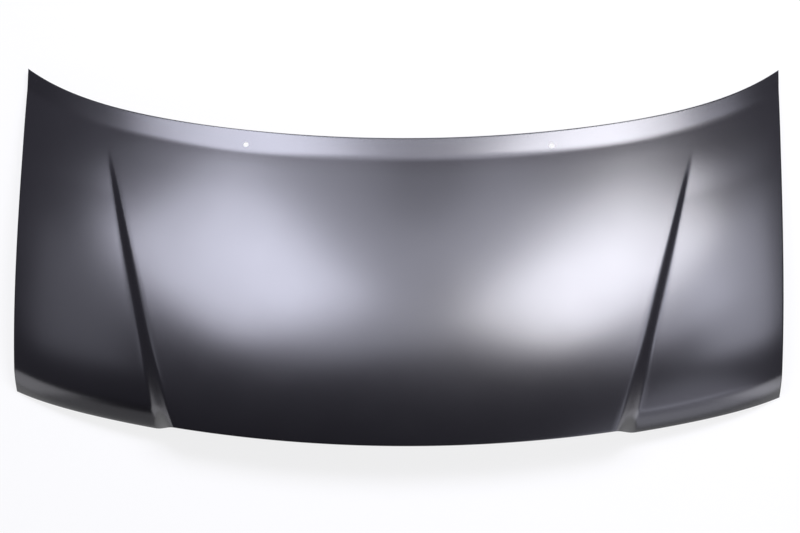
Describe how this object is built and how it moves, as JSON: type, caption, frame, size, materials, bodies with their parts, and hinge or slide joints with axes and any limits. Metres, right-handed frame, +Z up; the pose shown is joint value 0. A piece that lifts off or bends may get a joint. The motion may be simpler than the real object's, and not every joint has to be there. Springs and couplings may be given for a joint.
{
  "type": "car bonnet",
  "caption": "Bare steel van bonnet in satin black electro-coat, with a raised middle, washer-jet holes and a pressed inner frame.",
  "frame": {"origin": "middle of the bonnet's box at its lowest level, where the hem's corners stand on the ground", "axes": "+X to the right across the bonnet seen from the front, +Y from the front edge towards the windscreen, +Z up, outer side up"},
  "size_m": [1.5024, 0.7869, 0.1026],
  "materials": {
    "coat": "satin black electro-coat on pressed steel sheet",
    "zinc": "zinc-plated steel",
    "mastic": "dull anti-flutter mastic"
  },
  "bodies": {
    "root": {"outer_panel": "coat", "inner_frame": "coat", "hinge_plate_left": "coat", "hinge_nut_left_inner": "zinc", "hinge_nut_left_outer": "zinc", "hinge_plate_right": "coat", "hinge_nut_right_inner": "zinc", "hinge_nut_right_outer": "zinc", "latch_reinforcement": "coat", "striker_plate": "zinc", "striker_loop": "zinc", "striker_bolt_left": "zinc", "striker_nut_left": "zinc", "striker_bolt_right": "zinc", "striker_nut_right": "zinc", "prop_rod_seat": "coat", "mastic_middle_1": "mastic", "mastic_middle_2": "mastic", "mastic_middle_3": "mastic", "mastic_middle_4": "mastic", "mastic_front_left_1": "mastic", "mastic_front_left_2": "mastic", "mastic_rear_left_1": "mastic", "mastic_rear_left_2": "mastic", "mastic_outer_left_1": "mastic", "mastic_outer_left_2": "mastic", "mastic_front_right_1": "mastic", "mastic_front_right_2": "mastic", "mastic_rear_right_1": "mastic", "mastic_rear_right_2": "mastic", "mastic_outer_right_1": "mastic", "mastic_outer_right_2": "mastic"}
  },
  "joints": []
}
